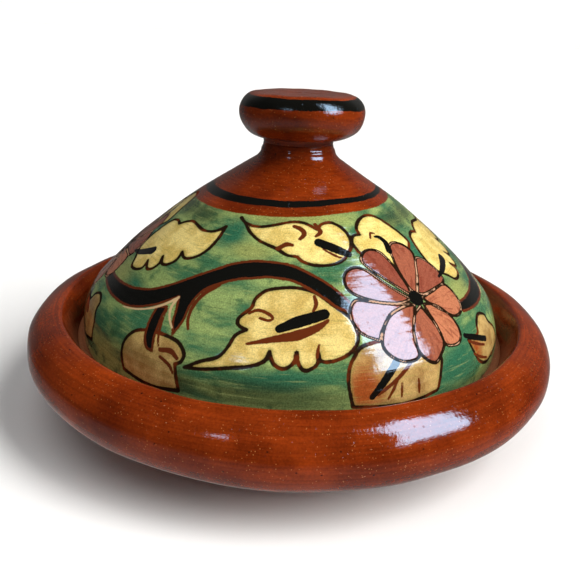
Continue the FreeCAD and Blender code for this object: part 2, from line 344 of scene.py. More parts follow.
# One repeat of the painting, as (angle, height) points that smooth curves pass through.
# A third entry marks a sharp point.
SHARP = True
LEAVES = {
    "left": (0.0, [
        (-32.3, 86.3, SHARP), (-32, 83), (-33.3, 79), (-36.5, 76.2), (-40.5, 75.1),
        (-43.8, 76.4, SHARP), (-43.3, 74), (-45.5, 71.9), (-48.3, 71.4), (-50.8, 73.2, SHARP),
        (-49.6, 71), (-50.8, 68.9), (-53.2, 68.3), (-56.2, 70.2, SHARP), (-55.6, 67.8),
        (-58.5, 66.3), (-62.5, 66.2), (-65, 68.2, SHARP), (-69.5, 71, SHARP), (-70.6, 75),
        (-69.8, 79.2), (-67.5, 82.2), (-63.5, 83.1), (-59.5, 82.6, SHARP), (-57, 83.9),
        (-53, 84.9), (-48, 84.5), (-42, 83.7), (-36, 84.3)]),
    "top": (0.0, [
        (-27.5, 89.6, SHARP), (-23.5, 88.3), (-17, 87.8), (-9.5, 88.7), (-1.5, 89.9),
        (5, 89.7), (10.6, 88, SHARP), (13.5, 89.5), (18.5, 89.8), (23, 88.1), (24.8, 85.3),
        (23.5, 82.6), (21.3, 81.3, SHARP), (19, 79.6), (14.5, 78.4), (8, 78.2), (3.5, 79.2),
        (1.5, 80.4, SHARP), (-2.5, 80.8), (-6.5, 82.3, SHARP), (-10, 83.1), (-15, 84.3),
        (-20, 86.2), (-23.5, 88.1)]),
    "right": (0.0, [
        (26, 81.5, SHARP), (25, 84.2), (27, 85.8), (30.5, 86, SHARP), (30.3, 87.6),
        (32.5, 89.2), (37, 90.5), (42.5, 90.8), (47, 89.8), (50.5, 87.2), (53.3, 84.1),
        (54.2, 81.2), (52, 79.8, SHARP), (44, 76), (36, 76), (29, 79)]),
    "middle": (0.22, [
        (-23.5, 47, SHARP), (-20, 49.9), (-16, 52.2), (-14.2, 55.5), (-13.2, 58.5),
        (-10.8, 60.2, SHARP), (-13.2, 61.2), (-13.4, 63.2), (-10.8, 66), (-10.2, 68.5),
        (-7.5, 70.9), (-3, 71.9), (2, 72.1), (7.5, 70.8), (12, 67.5), (16, 64.3), (17.2, 61),
        (17, 58), (14.5, 55), (10.5, 53.2), (7.6, 53.2), (7, 55.2, SHARP), (6.4, 52.2),
        (3.9, 50.6), (2.4, 52.3), (1.9, 55.4, SHARP), (1.2, 52.6), (-1, 50.9), (-3.3, 52.2),
        (-4.4, 55.4, SHARP), (-5.4, 52.6), (-8.5, 50.8), (-13.5, 49.4), (-19, 47.8)]),
    "low_left": (0.75, [
        (-41, 38.5, SHARP), (-42.6, 44), (-42.6, 48.5), (-40.5, 52.3), (-36.5, 54),
        (-31.5, 54.4), (-27, 53.6), (-24.4, 51), (-24.6, 48.4), (-26, 47.2, SHARP),
        (-25.3, 44), (-24.2, 38.5, SHARP), (-32, 37)]),
    "low_right": (0.85, [
        (14.3, 38.5, SHARP), (13.4, 45), (13.6, 50), (15, 53.5), (18, 56.5), (25, 57),
        (33, 53), (38.2, 49.8), (37.6, 45), (36.2, 38.5, SHARP), (26, 37)]),
    "far_right": (0.8, [
        (50.5, 50.5, SHARP), (56, 50.2), (58, 53), (62, 54.6), (66, 53), (66.5, 50),
        (69.5, 46), (71.8, 39.5, SHARP), (60, 37.5), (54, 41), (51.5, 46)]),
}
VINE = [
    [(-72, 60.6, SHARP), (-62, 61), (-54, 61.9), (-48, 63.2), (-42, 65.4), (-36, 68.8),
     (-30, 72.4), (-25, 75.1), (-20, 77.2), (-14, 78.4), (-7, 78.7), (0, 78), (5, 76.4),
     (10, 74.2), (14, 71.4), (17, 68.2), (20.5, 64.5, SHARP), (13.5, 66.7), (10, 69.3),
     (5, 72.1), (0, 73.9), (-7, 74.4), (-13, 73.7), (-18, 72.7), (-23, 70.7), (-26.8, 68.1),
     (-28.4, 64), (-28.3, 60), (-29.4, 55, SHARP), (-31.2, 58.5), (-32.3, 62.5),
     (-33.3, 65, SHARP), (-37, 62.4), (-41, 60), (-46, 58), (-51, 57), (-58, 56.8),
     (-66, 57.2), (-72, 57.8, SHARP)],
    [(-38.3, 60.6, SHARP), (-38, 56.5), (-37, 52.5), (-35, 49.2), (-33, 48.7, SHARP),
     (-34.3, 54), (-34.9, 58), (-35.2, 61.6, SHARP)],
]
PETALS = [
    (0.0, [(38.3, 67.5, SHARP), (35.5, 69.8), (31, 73.4), (27.5, 76.4), (25.6, 78.8),
           (27.5, 80.8), (31, 81.5), (34.8, 80.6), (37, 77.7), (38.2, 73.5), (38.7, 69.5)]),
    (0.3, [(39.3, 69, SHARP), (38.6, 74), (39.6, 78.5), (42, 81.6), (46, 82), (50, 80.2),
           (51, 77.6), (47, 73.5), (43, 69.8), (41, 67.8)]),
    (0.1, [(41.2, 67.6, SHARP), (45, 71.2), (50, 76), (53.5, 75.8), (56.5, 73.2), (58, 69.8),
           (56.5, 67.6), (50, 67.2), (44, 66.8)]),
    (0.9, [(42, 66.2, SHARP), (48, 66.8), (55, 67.2), (57.3, 64.8), (57.2, 61), (55, 58.6),
           (50.8, 58.2), (47, 61), (43.5, 64.2)]),
    (1.0, [(41, 64.4, SHARP), (44.5, 63.6), (47.5, 61.2), (49.2, 57.5), (48.8, 53.6),
           (46.5, 51.2), (43, 51.4), (41.2, 53), (41.4, 58)]),
    (0.35, [(39.5, 64.2, SHARP), (35.8, 62.2), (33, 58), (32.2, 53.5), (34, 49.8),
           (36.5, 48.2), (39, 50.4), (41, 53.2), (41.2, 58)]),
    (0.3, [(37.8, 65, SHARP), (33, 64.9), (28, 63.4), (24.6, 60), (23, 56), (24.5, 52.8),
           (28, 50.7), (31.8, 51.2), (32.3, 54.5), (33.3, 58.5), (35.8, 62.3)]),
    (0.2, [(36.5, 65.5, SHARP), (30, 66.3), (23.5, 67.8), (19, 68.5), (16.6, 66),
           (16.6, 63), (18.3, 59.8), (22.6, 57.4, SHARP), (24.5, 60.2), (28, 63.6),
           (32.5, 65)]),
    (0.1, [(37.5, 66.6, SHARP), (33, 70), (29, 73.4), (26, 76), (22.5, 77.2), (18.8, 76.4),
           (17, 74.2), (17.6, 71.4), (21, 69.2), (27, 67.2), (33, 66.2)]),
]

# Brush strokes: points, and half the stroke's width in millimetres at its start, middle and end.
# The last black one is the flower's middle.
BLACK_STROKES = [
    ([(-71, 69.2), (-65, 70.6), (-58.5, 73)], (0.5, 1.5, 2.1)),
    ([(10.5, 84.4), (16, 82.9), (21.3, 81)], (1.9, 2.0, 1.6)),
    ([(37.4, 84.8), (39.8, 84.3), (41, 82.5), (40, 80.2)], (0.5, 1.2, 1.5)),
    ([(-2.6, 61.2), (2, 63.2), (9.2, 65.3)], (1.5, 2.3, 2.0)),
    ([(25.3, 51.2), (22, 46.6), (18.6, 41.4)], (1.5, 1.5, 1.1)),
    ([(50, 52.2), (55, 49.4), (59.5, 46.8)], (1.1, 1.3, 1.2)),
    ([(39.2, 66.5), (39.5, 66.4), (39.8, 66.3)], (3.0, 3.2, 3.0)),
]
RED_STROKES = [
    ([(0, 88.7), (3.2, 87.9), (4.5, 86.6), (2.5, 85.2)], (0.9, 1.1, 0.7)),
    ([(10, 89.4), (12, 87.4), (9.5, 86.1)], (0.8, 1.0, 0.6)),
    ([(-6, 82.4), (-3, 83.6), (-0.5, 83.5)], (0.9, 1.1, 0.7)),
    ([(12, 82.6), (16, 80.8), (19, 79.9)], (0.5, 0.6, 0.4)),
    ([(-10, 56.6), (-4, 58.4), (2, 59.8), (7, 61.8), (10, 63.6)], (0.5, 2.0, 0.7)),
    ([(-11, 64.6), (-9, 65.6), (-6.5, 65.2), (-4.6, 64), (-5.5, 63.2), (-8, 63.6)],
     (0.6, 0.7, 0.5)),
    ([(6.8, 70), (7.2, 68), (6.2, 66)], (0.6, 0.8, 0.5)),
    ([(7.3, 57.6), (6.9, 56), (6.6, 54.2)], (0.4, 0.7, 0.6)),
    ([(-22.5, 70.6), (-25.8, 67.6), (-27.4, 64), (-27.2, 60.2), (-25.9, 57.6)],
     (0.9, 0.9, 0.5)),
    ([(-34.8, 61), (-34, 56.5), (-32.6, 52.5), (-31.2, 49.8)], (0.5, 0.6, 0.4)),
    ([(-31, 50), (-28, 50.6), (-25.8, 49)], (0.8, 1.0, 0.7)),
    ([(-30.5, 48), (-27.5, 46.4), (-26, 44)], (0.6, 0.7, 0.5)),
    ([(29.5, 50.6), (25, 46.2), (20, 41.8)], (0.7, 0.8, 0.6)),
    ([(25, 45.8), (22.5, 40)], (0.5, 0.6, 0.5)),
    ([(26, 44.6), (25.8, 40)], (0.5, 0.6, 0.5)),
    ([(30.5, 44.6), (30.5, 40)], (0.5, 0.7, 0.5)),
    ([(51.5, 45), (55, 42), (59, 39.5)], (0.6, 0.7, 0.5)),
    ([(50.6, 50), (54.5, 47.3), (58, 45.2)], (0.6, 0.7, 0.5)),
    ([(34.8, 84.6), (36.5, 86), (38.5, 85.6)], (0.5, 0.6, 0.4)),
]
CREAM_STROKES = [
    ([(-50.5, 56.4), (-45, 57.6), (-40, 59.6), (-36, 62.2), (-33.2, 64.8)], (0.3, 0.5, 0.6)),
    ([(-33.4, 64.2), (-33.8, 61.5), (-32.2, 58.5), (-30.3, 56.6)], (0.6, 0.6, 0.4)),
]
# Patches of stronger colour in the ground: angle, height, half width in degrees, half height
EMERALD = [(-27, 85, 7, 4.5), (44, 45, 9, 8), (55, 78, 5, 6), (-36, 53, 5, 4),
           (-56, 63, 9, 2.5), (-2, 47, 9, 3)]
LIME = [(2, 91, 34, 2.6), (-16, 81, 9, 2.4), (62, 63, 9, 4.5), (-6, 68, 5, 3)]
# Painted shade: olive patches that darken the ground low down by the dish's rim and high at the
# sides
SHADE_PATCHES = [(-2, 42, 20, 5), (-30, 42, 14, 4), (-52, 88, 12, 3), (60, 88, 14, 3)]
RUST = [(17, 44, 4.5, 8), (52, 46, 4, 6)]

# The painting's three repeats: the angle that its left end (-70) moves to, and its width
REPEATS = [(-70.0, 127.0), (57.0, 127.0), (-176.0, 106.0)]
REPEAT_START, REPEAT_WIDTH = REPEATS[0]


def smooth(points, closed):
    """A smooth curve through the points, with corners at the sharp ones."""
    places = [np.array(p[:2], float) for p in points]
    sharp = [len(p) > 2 for p in points]
    n = len(places)
    line = []
    for i in range(n if closed else n - 1):
        start, stop = places[i], places[(i + 1) % n]
        bare_start = sharp[i] or not closed and i == 0
        bare_stop = sharp[(i + 1) % n] or not closed and i == n - 2
        before = 2 * start - stop if bare_start else places[i - 1]
        after = 2 * stop - start if bare_stop else places[(i + 2) % n]
        for t in np.linspace(0, 1, 5)[:-1]:
            line.append(0.5 * (2 * start + (stop - before) * t
                               + (2 * before - 5 * start + 4 * stop - after) * t ** 2
                               + (3 * start - before - 3 * stop + after) * t ** 3))
    line.append(places[0] if closed else places[-1])
    return np.array(line)


class Painting:
    """Distances in millimetres, one for each vertex, from which the glaze takes its colours.
    They are positive inside a shape and negative outside."""

    REACH = 6.0

    def __init__(self, turned):
        outside = turned.zone >= LID_OUTSIDE
        self.heights = turned.height[turned.first[:-1][outside]]
        self.runs = turned.ring_run[outside]
        self.turned = turned
        self.painted = turned.run >= self.runs[0]
        self.layers = {}

    def layer(self, name, start=FAR):
        return self.layers.setdefault(name, np.full(len(self.turned.turn), start))

    def on_pot(self, line, repeat):
        """Points of the first repeat as (angle, run) in another, each drawn a bit differently."""
        start, width = REPEATS[repeat]
        angle = start + (line[:, 0] - REPEAT_START) * width / REPEAT_WIDTH
        run = np.interp(line[:, 1], self.heights, self.runs)
        if repeat:
            angle = angle + 0.8 * np.sin(line[:, 1] / 5 + 2 * repeat)
            run = run + 0.7 * np.sin(line[:, 0] / 11 + 3 * repeat)
        return np.stack([angle, run], 1)

    def near(self, line):
        """Vertices near a line: their numbers, and the steps in mm from each to each point."""
        middle = (line[:, 0].min() + line[:, 0].max()) / 2
        turned = self.turned
        angle = (turned.angle - middle + 180) % 360 - 180 + middle
        scale = np.radians(1) * np.maximum(turned.radius, 1)
        margin = self.REACH / scale
        inside = ((angle > line[:, 0].min() - margin) & (angle < line[:, 0].max() + margin)
                  & (turned.run > line[:, 1].min() - self.REACH)
                  & (turned.run < line[:, 1].max() + self.REACH) & self.painted)
        found = np.flatnonzero(inside)
        x = (line[None, :, 0] - angle[found, None]) * scale[found, None]
        y = line[None, :, 1] - turned.run[found, None]
        return found, x, y

    @staticmethod
    def to_segments(x, y):
        """Each vertex's distance to each segment, and how far along it the nearest place is."""
        step_x, step_y = x[:, 1:] - x[:, :-1], y[:, 1:] - y[:, :-1]
        length = np.maximum(step_x ** 2 + step_y ** 2, 1e-9)
        share = np.clip(-(x[:, :-1] * step_x + y[:, :-1] * step_y) / length, 0, 1)
        return np.hypot(x[:, :-1] + share * step_x, y[:, :-1] + share * step_y), share

    def shape(self, points, repeat):
        """(vertices, signed distances) of a closed outline."""
        found, x, y = self.near(self.on_pot(smooth(points, True), repeat))
        distance = self.to_segments(x, y)[0].min(1)
        crosses = (y[:, 1:] > 0) != (y[:, :-1] > 0)
        rise = np.where(crosses, y[:, 1:] - y[:, :-1], 1)
        at = x[:, :-1] - y[:, :-1] * (x[:, 1:] - x[:, :-1]) / rise
        inside = (crosses & (at > 0)).sum(1) % 2 == 1
        return found, np.where(inside, distance, -distance)

    def stroke(self, points, widths, repeat):
        """(vertices, signed distances) of a brush stroke whose width changes along it."""
        found, x, y = self.near(self.on_pot(smooth(points, False), repeat))
        distance, share = self.to_segments(x, y)
        segments = distance.shape[1]
        along = (np.arange(segments)[None, :] + share) / segments
        half = np.interp(along, (0, 0.5, 1), widths)
        return found, (half - distance).max(1)

    def add(self, name, found, value):
        layer = self.layer(name)
        layer[found] = np.maximum(layer[found], value)

    def tint(self, name, patches, repeat):
        """Soft patches, from 0 to 1."""
        layer = self.layer(name, 0.0)
        start, width = REPEATS[repeat]
        height = np.interp(self.turned.run, self.runs, self.heights)
        for angle, middle, half_width, half_height in patches:
            centre = start + (angle - REPEAT_START) * width / REPEAT_WIDTH
            across = ((self.turned.angle - centre + 180) % 360 - 180) / half_width
            apart = np.hypot(across, (height - middle) / half_height)
            np.maximum(layer, (1 - ramp(apart, 0.3, 1.5)) * self.painted, out=layer)

    def paint_repeat(self, repeat):
        for tone, points in LEAVES.values():
            found, value = self.shape(points, repeat)
            tones = self.layer("leaf_tone", 0.0)
            tones[found] = np.where(value > self.layer("leaf")[found], tone, tones[found])
            self.add("leaf", found, value)
            self.add("line", found, 0.8 - abs(value))
        for points in VINE:
            self.add("vine", *self.shape(points, repeat))
        for points, widths in BLACK_STROKES:
            self.add("black", *self.stroke(points, widths, repeat))
        for points, widths in RED_STROKES:
            self.add("red", *self.stroke(points, widths, repeat))
        for points, widths in CREAM_STROKES:
            self.add("cream", *self.stroke(points, widths, repeat))
        for name, patches in (("emerald", EMERALD), ("lime", LIME), ("dark", SHADE_PATCHES),
                              ("rust", RUST)):
            self.tint(name, patches, repeat)

    def fan_out(self, found, middle, repeat):
        """Places for a grain that runs out from the flower's middle."""
        way = self.layers.setdefault("petal_way", np.zeros((len(self.turned.turn), 3)))
        centre = self.on_pot(np.array([middle[:2]], float), repeat)
        angle, run = centre[0]
        across = (self.turned.angle[found] - angle + 180) % 360 - 180
        x = np.radians(across) * self.turned.radius[found]
        y = self.turned.run[found] - run
        size = np.hypot(x, y) + 1e-6
        way[found] = np.stack([x / size * 9, y / size * 9, size / 9], 1)

    def paint_flower(self, repeat):
        for tone, points in PETALS:
            found, value = self.shape(points, repeat)
            tones = self.layer("petal_tone", 0.0)
            tones[found] = np.where(value > self.layer("petal")[found], tone, tones[found])
            self.add("petal", found, value)
            self.add("petal_line", found, 0.8 - abs(value))
            self.fan_out(found, points[0], repeat)


def paint_lid(turned):
    """The painting's layers, and the depth of its incised lines."""
    painting = Painting(turned)
    for repeat in range(len(REPEATS)):
        painting.paint_repeat(repeat)
        painting.paint_flower(repeat)
    layers = painting.layers
    wobble = waves(turned, 21, 0.35, (3, 5, 8))
    sway = np.sin(turned.turn)
    height = np.where(painting.painted, turned.height, 0)
    ground_top = 91.35 + 1.3 * sway
    ring_bottom, ring_top = 94.0 + 1.0 * sway, 95.9 + 0.5 * sway
    layers["ground"] = ground_top + wobble - height
    ring = np.minimum(ring_top + wobble - height, height - ring_bottom - wobble)
    layers["black"] = np.maximum(layers["black"], ring)
    layers["line"] = np.minimum(layers["line"], -layers["petal"] + 0.4)
    groove = np.maximum(ramp(layers["line"], 0.1, 0.8), ramp(layers["petal_line"], 0.35, 0.9))
    return layers, GROOVE_DEPTH * groove * (layers["black"] < 0)


# ---------------- materials

class Nodes:
    """Short ways to add shader nodes to a tree and join them up."""

    def __init__(self, tree):
        self.tree = tree
        tree.nodes.clear()

    def add(self, kind, inputs, output=0, **settings):
        """A node with its settings and inputs (values or other nodes' sockets); one output."""
        node = self.tree.nodes.new("ShaderNode" + kind)
        for name, value in settings.items():
            setattr(node, name, value)
        for name, value in inputs.items():
            if isinstance(value, bpy.types.NodeSocket):
                self.tree.links.new(value, node.inputs[name])
            else:
                node.inputs[name].default_value = value
        return node.outputs[output] if node.outputs else node

    def attribute(self, name, output="Fac"):
        return self.add("Attribute", {}, output, attribute_name=name)

    def math(self, operation, *values, clamp=False):
        return self.add("Math", dict(enumerate(values)), operation=operation, use_clamp=clamp)

    def between(self, value, low, high, start=0.0, stop=1.0):
        """start where value is below low, stop above high, and smooth in between."""
        return self.add("MapRange", {"Value": value, "From Min": low, "From Max": high,
                                     "To Min": start, "To Max": stop},
                        interpolation_type="SMOOTHSTEP")

    def mix(self, share, first, second, blend="MIX"):
        colours = [c if isinstance(c, bpy.types.NodeSocket) else (*c, 1.0)
                   for c in (first, second)]
        return self.add("Mix", {0: share, 6: colours[0], 7: colours[1]}, 2, data_type="RGBA",
                        blend_type=blend)

    def tone(self, colour, low, high, value):
        """The colour made lighter or darker, by low where value is 0 and high where it is 1."""
        factor = self.between(value, 0.25, 0.75, low, high)
        grey = self.add("CombineColor", {0: factor, 1: factor, 2: factor})
        return self.mix(1.0, colour, grey, "MULTIPLY")

    def noise(self, place, size, detail=3.0, roughness=0.55):
        """Noise from 0 to 1 with features about as large as size, in the place's own unit."""
        return self.add("TexNoise", {"Vector": place, "Scale": 1 / size, "Detail": detail,
                                     "Roughness": roughness})

    def dots(self, place, size, radius):
        """1 in scattered dots, with cells of a given size and dots of a given radius in cells."""
        apart = self.add("TexVoronoi", {"Vector": place, "Scale": 1 / size})
        return self.between(apart, radius * 0.6, radius, 1.0, 0.0)

    def stretched(self, place, factors):
        return self.add("VectorMath", {0: place, 1: factors}, operation="MULTIPLY")

    def millimetres(self):
        return self.stretched(self.add("TexCoord", {}, "Object"), (1000, 1000, 1000))

    def streaks(self, length, width):
        """Noise drawn out round the pot, as a brush or a finger leaves it on a turning wheel."""
        stretched = self.stretched(self.attribute("lathe", "Vector"),
                                   (1 / length, 1 / length, 1 / width))
        return self.noise(stretched, 1.0, 4.0)


def new_material(name):
    material = bpy.data.materials.new(name)
    material.use_nodes = True
    return material, Nodes(material.node_tree)


def glaze_surface(n, colour, peel, streak, sparkle, cover=1.0):
    """A pigment under a clear glossy glaze with an uneven surface. peel, streak and sparkle are
    the depths in millimetres of its soft lumps, its turning marks and its fine lumps. cover is
    how much of the glaze is there, from 0 to 1."""
    place = n.millimetres()
    soft = n.math("MULTIPLY", n.noise(place, 2.6, 1.0), peel)
    marks = n.math("MULTIPLY", n.streaks(12.0, 1.0), streak)
    fine = n.math("MULTIPLY", n.noise(place, 0.9, 2.0), sparkle)
    pits = n.math("MULTIPLY", n.dots(place, 3.1, 0.11), -0.05)
    height = n.math("ADD", n.math("ADD", soft, marks), n.math("ADD", fine, pits))
    bump = n.add("Bump", {"Strength": 1.0, "Distance": MM, "Height": height})
    shader = n.add("BsdfPrincipled", {
        "Base Color": colour, "Roughness": 0.5, "Specular IOR Level": 0.0, "Normal": bump,
        "Coat Weight": cover, "Coat Roughness": 0.05, "Coat IOR": 1.6, "Coat Normal": bump})
    n.add("OutputMaterial", {"Surface": shader})


DARK_CLAY, BRIGHT_CLAY = (0.130, 0.015, 0.002), (0.265, 0.035, 0.004)
GRIT, SCUFF, PINHOLE = (0.60, 0.22, 0.06), (0.62, 0.27, 0.12), (0.03, 0.008, 0.003)


def terracotta(n):
    """The red clay's colour under the clear glaze, with pale grit, scuffs and dark pinholes."""
    place = n.millimetres()
    red = n.mix(n.between(n.noise(place, 24.0, 4.0), 0.3, 0.7), DARK_CLAY, BRIGHT_CLAY)
    red = n.tone(red, 0.76, 1.17, n.streaks(9.0, 1.0))
    red = n.tone(red, 0.82, 1.15, n.noise(place, 0.8, 3.0))
    pale = n.math("MULTIPLY", n.dots(place, 1.5, 0.15), 0.5)
    red = n.mix(pale, red, GRIT)
    wear_and_highlight_patches = n.between(n.noise(place, 14.0, 2.0), 0.48, 0.62)
    scuffs = n.between(n.noise(n.stretched(place, (1.0, 1.0, 1.8)), 1.2, 4.0), 0.65, 0.72)
    red = n.mix(n.math("MULTIPLY", scuffs, n.math("MULTIPLY", wear_and_highlight_patches, 0.55)), red, SCUFF)
    dark = n.math("MULTIPLY", n.dots(n.stretched(place, (0.9, 0.9, 1.1)), 4.7, 0.09), 0.8)
    return n.mix(dark, red, PINHOLE)


BLACK = (0.005, 0.005, 0.004)
DARK_INK, RED_INK = (0.016, 0.008, 0.004), (0.115, 0.022, 0.006)
# The second of these is a painted highlight: pale shine along the middle of the petals' outlines.
CREAM, PETAL_HIGHLIGHT = (0.60, 0.42, 0.22), (0.62, 0.36, 0.22)


def brushed_edge(n, name, low, high, ragged=0.35):
    """0 to 1 over a shape's edge, from a distance of low to one of high, uneven and a little
    ragged."""
    place = n.millimetres()
    rough = n.math("ADD", n.noise(place, 0.8, 2.0), n.noise(place, 5.0, 1.0))
    shift = n.math("MULTIPLY", n.math("SUBTRACT", rough, 1.0), 2 * ragged)
    return n.between(n.math("ADD", n.attribute(name), shift), low, high)


DEEP_GREEN, LIGHT_GREEN = (0.050, 0.155, 0.070), (0.28, 0.38, 0.125)
TEAL_GREEN, EMERALD_GREEN = (0.030, 0.115, 0.050), (0.030, 0.135, 0.070)
LIME_GREEN, SHADE_GREEN = (0.31, 0.34, 0.10), (0.035, 0.055, 0.022)
PALE_STREAK, DARK_STREAK = (0.36, 0.42, 0.15), (0.022, 0.065, 0.030)


def ground_colour(n):
    """The painting's green: patches of several greens and of painted shade, with a fine brushed
    grain.
    """
    place = n.millimetres()
    wide = n.stretched(n.attribute("lathe", "Vector"), (0.75, 0.75, 1.3))
    green = n.mix(n.between(n.noise(wide, 9.0, 3.0), 0.36, 0.62), DEEP_GREEN, LIGHT_GREEN)
    green = n.mix(n.between(n.noise(place, 7.0, 4.0), 0.52, 0.7, 0.0, 0.75), green, TEAL_GREEN)
    green = n.mix(n.attribute("emerald"), green, EMERALD_GREEN)
    green = n.mix(n.math("MULTIPLY", n.attribute("lime"), 0.85), green, LIME_GREEN)
    # painted shade: darker olive in the shade patches, low by the rim and high at the sides
    green = n.mix(n.math("MULTIPLY", n.attribute("dark"), 0.75), green, SHADE_GREEN)
    brushed = n.streaks(4.5, 0.8)
    green = n.mix(n.between(brushed, 0.56, 0.72, 0.0, 0.4), green, PALE_STREAK)
    green = n.mix(n.between(brushed, 0.44, 0.30, 0.0, 0.4), green, DARK_STREAK)
    return n.tone(green, 0.66, 1.28, n.noise(place, 0.5, 3.0))


DULL_YELLOW, BRIGHT_YELLOW = (0.72, 0.52, 0.14), (0.95, 0.76, 0.27)
DARK_OCHRE, PALE_OCHRE = (0.30, 0.15, 0.055), (0.50, 0.30, 0.105)
LEAF_RUST, LEAF_STREAK, LEAF_EDGE = (0.34, 0.075, 0.016), (0.40, 0.33, 0.09), (0.28, 0.26, 0.07)


def leaf_colour(n):
    """Yellow to ochre, thin and greenish near the outlines, with a brushed grain."""
    place = n.millimetres()
    patches = n.between(n.noise(place, 7.0, 3.0), 0.36, 0.64)
    yellow = n.mix(patches, DULL_YELLOW, BRIGHT_YELLOW)
    ochre = n.mix(patches, DARK_OCHRE, PALE_OCHRE)
    leaf = n.mix(n.attribute("leaf_tone"), yellow, ochre)
    leaf = n.mix(n.attribute("rust"), leaf, LEAF_RUST)
    leaf = n.mix(n.between(n.streaks(7.0, 0.7), 0.53, 0.72, 0.0, 0.55), leaf, LEAF_STREAK)
    thin = n.between(n.math("SUBTRACT", n.attribute("leaf"), n.noise(place, 3.0)), 1.6, -0.2)
    leaf = n.mix(n.math("MULTIPLY", thin, 0.5), leaf, LEAF_EDGE)
    return n.tone(leaf, 0.72, 1.14, n.noise(place, 0.5, 3.0))


BRICK, ORANGE, PETAL_STREAK = (0.27, 0.070, 0.042), (0.50, 0.180, 0.088), (0.17, 0.030, 0.016)


def petal_colour(n):
    """Brick to orange, in brush strokes that run out from the flower's middle."""
    way = n.attribute("petal_way", "Vector")
    petal = n.mix(n.attribute("petal_tone"), BRICK, ORANGE)
    petal = n.mix(n.between(n.noise(way, 1.0, 3.0), 0.46, 0.68, 0.0, 0.6), petal, PETAL_STREAK)
    return n.tone(petal, 0.8, 1.15, n.noise(n.millimetres(), 0.7, 2.0))


def ink_colour(n):
    """Outlines are nearly black, and red-brown in places."""
    return n.mix(n.between(n.noise(n.millimetres(), 7.0, 2.0), 0.50, 0.66), DARK_INK, RED_INK)


def painted_glaze():
    """The lid's painting, from the ground up: leaves, vine, strokes, flowers, then the red neck.
    The drawn lines are matter than the rest, because little of the glaze covers them."""
    material, n = new_material("painted_glaze")
    line = brushed_edge(n, "line", -0.1, 0.25, 0.2)
    petal_line = brushed_edge(n, "petal_line", 0.0, 0.25, 0.15)
    colour = n.mix(brushed_edge(n, "leaf", -0.2, 0.2), ground_colour(n), leaf_colour(n))
    colour = n.mix(line, colour, ink_colour(n))
    colour = n.mix(brushed_edge(n, "vine", -0.7, -0.3), colour, RED_INK)
    colour = n.mix(brushed_edge(n, "red", -0.15, 0.2, 0.2), colour, RED_INK)
    colour = n.mix(brushed_edge(n, "vine", 0.45, 0.75, 0.25), colour, BLACK)
    colour = n.mix(brushed_edge(n, "cream", -0.1, 0.2, 0.2), colour, CREAM)
    colour = n.mix(brushed_edge(n, "petal", -0.2, 0.1, 0.2), colour, petal_colour(n))
    colour = n.mix(petal_line, colour, DARK_INK)
    # Painted highlight: a pale streak along the middle of the petals' outlines, shown in patches.
    wear_and_highlight_patches = n.between(n.noise(n.millimetres(), 6.0, 2.0), 0.46, 0.56, 0.0, 0.8)
    pale = n.math("MULTIPLY", brushed_edge(n, "petal_line", 0.52, 0.64, 0.05), wear_and_highlight_patches)
    colour = n.mix(pale, colour, PETAL_HIGHLIGHT)
    colour = n.mix(brushed_edge(n, "black", -0.1, 0.15, 0.2), colour, BLACK)
    red = n.mix(brushed_edge(n, "black", -0.1, 0.15, 0.15), terracotta(n), BLACK)
    colour = n.mix(brushed_edge(n, "ground", -0.15, 0.15, 0.2), red, colour)
    cover = n.math("MULTIPLY_ADD", n.math("MAXIMUM", petal_line, line), -0.85, 1.0)
    glaze_surface(n, colour, 0.05, 0.06, 0.02, cover)
    return material


def banded_glaze():
    """The knob's: red under clear glaze, with a black band round its shoulder."""
    material, n = new_material("banded_glaze")
    edge = brushed_edge(n, "black", -0.15, 0.2, 0.4)
    glaze_surface(n, n.mix(edge, terracotta(n), BLACK), 0.08, 0.03, 0.13)
    return material


def red_glaze():
    material, n = new_material("red_glaze")
    glaze_surface(n, terracotta(n), 0.06, 0.035, 0.035)
    return material


def bare_clay():
    """Unglazed clay: the foot, the ledge, the lid's edge and inside."""
    material, n = new_material("bare_clay")
    place = n.millimetres()
    clay = n.mix(n.noise(place, 18.0, 4.0), (0.30, 0.095, 0.040), (0.42, 0.16, 0.07))
    clay = n.tone(clay, 0.82, 1.12, n.streaks(20.0, 1.2))
    clay = n.tone(clay, 0.8, 1.1, n.noise(place, 0.6, 3.0))
    clay = n.mix(n.math("MULTIPLY", n.dots(place, 1.9, 0.13), 0.6), clay, (0.62, 0.42, 0.26))
    height = n.math("ADD", n.math("MULTIPLY", n.noise(place, 0.5, 3.0), 0.10),
                    n.math("MULTIPLY", n.streaks(25.0, 1.0), 0.12))
    bump = n.add("Bump", {"Strength": 1.0, "Distance": MM, "Height": height})
    shader = n.add("BsdfPrincipled", {"Base Color": clay, "Normal": bump, "Roughness": 0.85,
                                      "Specular IOR Level": 0.25})
    n.add("OutputMaterial", {"Surface": shader})
    return material


# ---------------- the pieces

def make_dish(clay):
    """The dish. Its ledge, round the place where the lid stands, is left true."""
    turned = Turned(dish_section())
    relief = (waves(turned, 3, 0.30) + lumps(turned, 1, 22.0, 0.5)
              + throwing_rings(turned, 4, 0.06, 5.0))
    ledge_middle = 89.3
    from_seat = np.hypot(turned.radius - ledge_middle, turned.height - LEDGE_HEIGHT)
    relief *= ramp(turned.radius, 4, 30) * ramp(turned.height, 0.2, 6) * ramp(from_seat, 7, 14)
    piece = make_piece("dish", turned, relief, {}, [clay, red_glaze()])
    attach(piece, "dish")
    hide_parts("base_dish")


